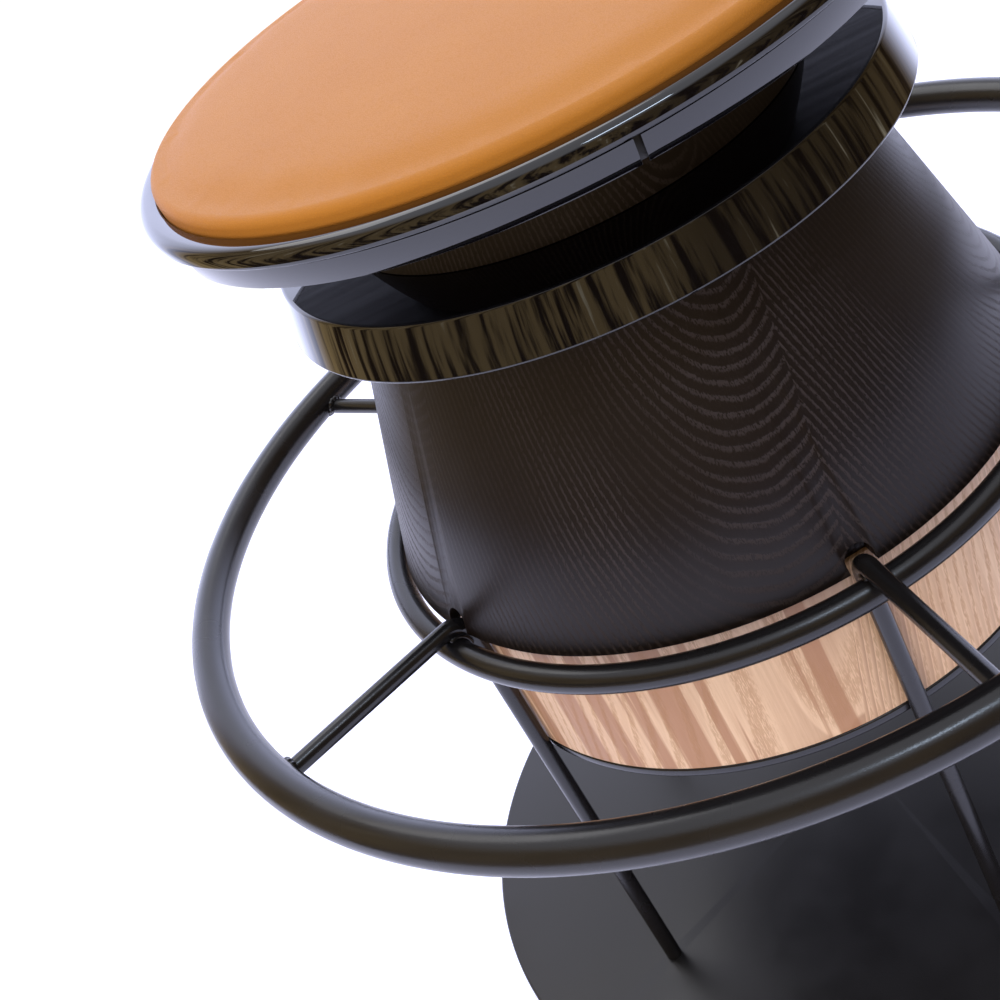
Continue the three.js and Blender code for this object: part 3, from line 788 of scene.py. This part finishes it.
def blown_blank(outer, top, bottom):
    """Foam pressing against its cover: cloth under pressure, held close to the drawn shape by a small cap."""
    side = outer - BLANK_INSET
    blank = turned(pad_outline(side, top - BLANK_DROP, bottom, [(side, bottom)]), BLANK_STEPS)
    apply_modifier(blank, "REMESH", mode="VOXEL", voxel_size=BLANK_VOXEL)
    start = [vertex.co.copy() for vertex in blank.data.vertices]
    only(blank)
    cloth = blank.modifiers.new("Cloth", "CLOTH")
    cloth.settings.use_pressure = True
    cloth.settings.uniform_pressure_force = PAD_PRESSURE
    cloth.settings.effector_weights.gravity = 0
    cloth.settings.quality = 5
    for step in range(1, PAD_FRAMES + 1):
        bpy.context.scene.frame_set(step)
    bpy.ops.object.modifier_apply(modifier=cloth.name)
    for vertex, place in zip(blank.data.vertices, start):
        move = vertex.co - place
        if move.length > PAD_CAP:
            vertex.co = place + move.normalized() * PAD_CAP
    bpy.context.scene.frame_set(1)
    apply_modifier(blank, "CORRECTIVE_SMOOTH", iterations=8, use_only_smooth=True)
    apply_modifier(blank, "SUBSURF", levels=1, render_levels=1)
    return blank


def build_pad():
    inner = reach("seat_leather")[1] - LEATHER_THICKNESS
    outer, top = reach("seat_leather")[1], high("seat_leather")
    bottom, hem = low("seat_foam"), low("seat_leather")
    pad = turned(pad_outline(outer, top, bottom, [(inner, bottom), (inner, hem), (outer, hem)]))
    blank = blown_blank(outer, top, bottom)
    crown = pad.vertex_groups.new(name="crown")
    for vertex in pad.data.vertices:
        spread = math.hypot(vertex.co.x, vertex.co.y)
        if vertex.co.z > bottom + PAD_EDGE / 2:
            share = min(max((outer - CROWN_MARGIN - spread) / CROWN_FADE, 0.0), 1.0)
            crown.add([vertex.index], share, "REPLACE")
    apply_modifier(pad, "SHRINKWRAP", target=blank, wrap_method="PROJECT", use_project_z=True,
                   use_positive_direction=True, use_negative_direction=True, project_limit=PAD_FOLLOW,
                   vertex_group="crown")
    bpy.data.objects.remove(blank)
    finish_piece(pad, "leather_pad", LEATHER, "tan_leather", "seat", "seat_leather", "seat_foam", sharp=60)


# ---- CAD nodes that stay as they are ------------------------------------------------------------
KEPT = {
    "zinc": ["upper_washer", "upper_nut", "lower_swivel_plate", "upper_swivel_plate",
             "swivel_eyelet", "ball_cage"],
    "plywood": ["seat_board"],
}


def repaint():
    zinc = KEPT["zinc"] + [f"ball_{i + 1}" for i in range(BALL_COUNT)]
    zinc += [f"{kind}_screw_{i + 1}" for kind in ("bed", "board") for i in range(PLATE_SCREWS)]
    for names, material in ((zinc, ZINC), (KEPT["plywood"], PLYWOOD)):
        for name in names:
            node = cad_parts[name]
            node.data.materials.clear()
            node.data.materials.append(material)


# ---- Studio -------------------------------------------------------------------------------------
def build_floor():
    deselect()
    bpy.ops.mesh.primitive_circle_add(vertices=96, radius=FLOOR_RADIUS, fill_type="NGON")
    floor = bpy.context.object
    floor.name = "studio_floor"
    paper = Finish("white_paper")
    tone = paper.noise(3, detail=2.0)
    color = paper.blend(tone, rgb(0.84, 0.85, 0.93), rgb(0.86, 0.87, 0.94))
    material = paper.surface(Base_Color=color, Roughness=0.9, Emission_Color=rgb(0.58, 0.63, 1.0),
                             Emission_Strength=0.85)
    floor.data.materials.append(material)


def build_sky():
    """White studio all round, darker and warmer at eye level behind the viewer, as the lacquer sees it."""
    world = bpy.data.worlds.new("studio")
    bpy.context.scene.world = world
    world.use_nodes = True
    sky = Finish("studio", world.node_tree)
    direction = sky.node("ShaderNodeTexCoord", output="Generated")
    x, y, z = sky.axes(direction)
    rise = sky.between(z, 0.62, 0.85, 1.0, 0.0)
    facing = sky.between(y, 0.50, 0.80, 1.0, 0.0)
    azimuth = y.math("ARCTAN2", x)
    across = sky.node("ShaderNodeCombineXYZ", inputs={0: azimuth * 5.5, 1: z * 0.3})
    streaks = {"Vector": across, "Scale": 2.2, "Detail": 4.0, "Roughness": 0.65}
    panels = sky.node("ShaderNodeTexNoise", inputs=streaks)
    deep = sky.between(panels, 0.42, 0.54) * sky.between(x, -0.1, 0.5, 1.0, 0.35)
    bright = sky.between(panels, 0.60, 0.68)
    room = sky.blend(deep, rgb(0.05, 0.03, 0.015), rgb(0.60, 0.43, 0.21))
    room = sky.blend(bright, room, rgb(1.30, 1.15, 0.85))
    white = sky.blend(sky.between(z, 0.2, 0.8), rgb(1.70, 1.80, 2.45), rgb(0.93, 0.94, 1.02))
    seen = sky.blend(rise * facing, white, room)
    lit = sky.node("ShaderNodeBackground", inputs={"Color": seen, "Strength": 1.15})
    plain = sky.node("ShaderNodeBackground", inputs={"Color": rgb(1, 1, 1), "Strength": 1.1})
    camera_ray = sky.node("ShaderNodeLightPath", output="Is Camera Ray")
    mixed = sky.node("ShaderNodeMixShader", inputs={0: camera_ray, 1: lit, 2: plain})
    sky.node("ShaderNodeOutputWorld", inputs={0: mixed})


def softbox(name, place, target, size, power, color, mirrored=True):
    light = bpy.data.lights.new(name, "AREA")
    light.shape = "RECTANGLE"
    light.size, light.size_y = size
    light.energy = power
    light.color = color
    lamp = bpy.data.objects.new(name, light)
    bpy.context.collection.objects.link(lamp)
    lamp.location = place
    lamp.rotation_euler = (Vector(target) - Vector(place)).to_track_quat("-Z", "Y").to_euler()
    lamp.visible_glossy = mirrored


def build_studio():
    build_floor()
    build_sky()
    softbox("front_softbox", (0.35, -0.95, 2.0), (0, 0, 0.3), (0.60, 0.16), 5.5, (0.66, 0.80, 1.0))
    softbox("low_softbox", (-0.55, -1.3, 0.40), (0, 0, 0.20), (0.5, 0.3), 5, (1.0, 0.98, 0.94),
            mirrored=False)
    softbox("overhead_softbox", (-0.5, 0.9, 1.9), (0, 0, 0.3), (1.5, 0.8), 8, (0.98, 0.98, 1.0))


def build_camera():
    data = bpy.data.cameras.new("camera")
    data.lens = CAMERA_LENS
    data.sensor_width = CAMERA_SENSOR
    camera = bpy.data.objects.new("camera", data)
    bpy.context.collection.objects.link(camera)
    heading = Matrix.Rotation(CAMERA_HEADING, 4, "Z")
    tilt = Matrix.Rotation(CAMERA_TILT, 4, "X")
    roll = Matrix.Rotation(CAMERA_ROLL, 4, "Z")
    camera.matrix_world = Matrix.Translation(CAMERA_PLACE) @ heading @ tilt @ roll
    bpy.context.scene.camera = camera
    bpy.context.scene.view_settings.view_transform = "Standard"


build_base()
build_frame()
build_body()
build_tie()
build_bed()
build_rim()
build_pad()
repaint()
build_studio()
build_camera()
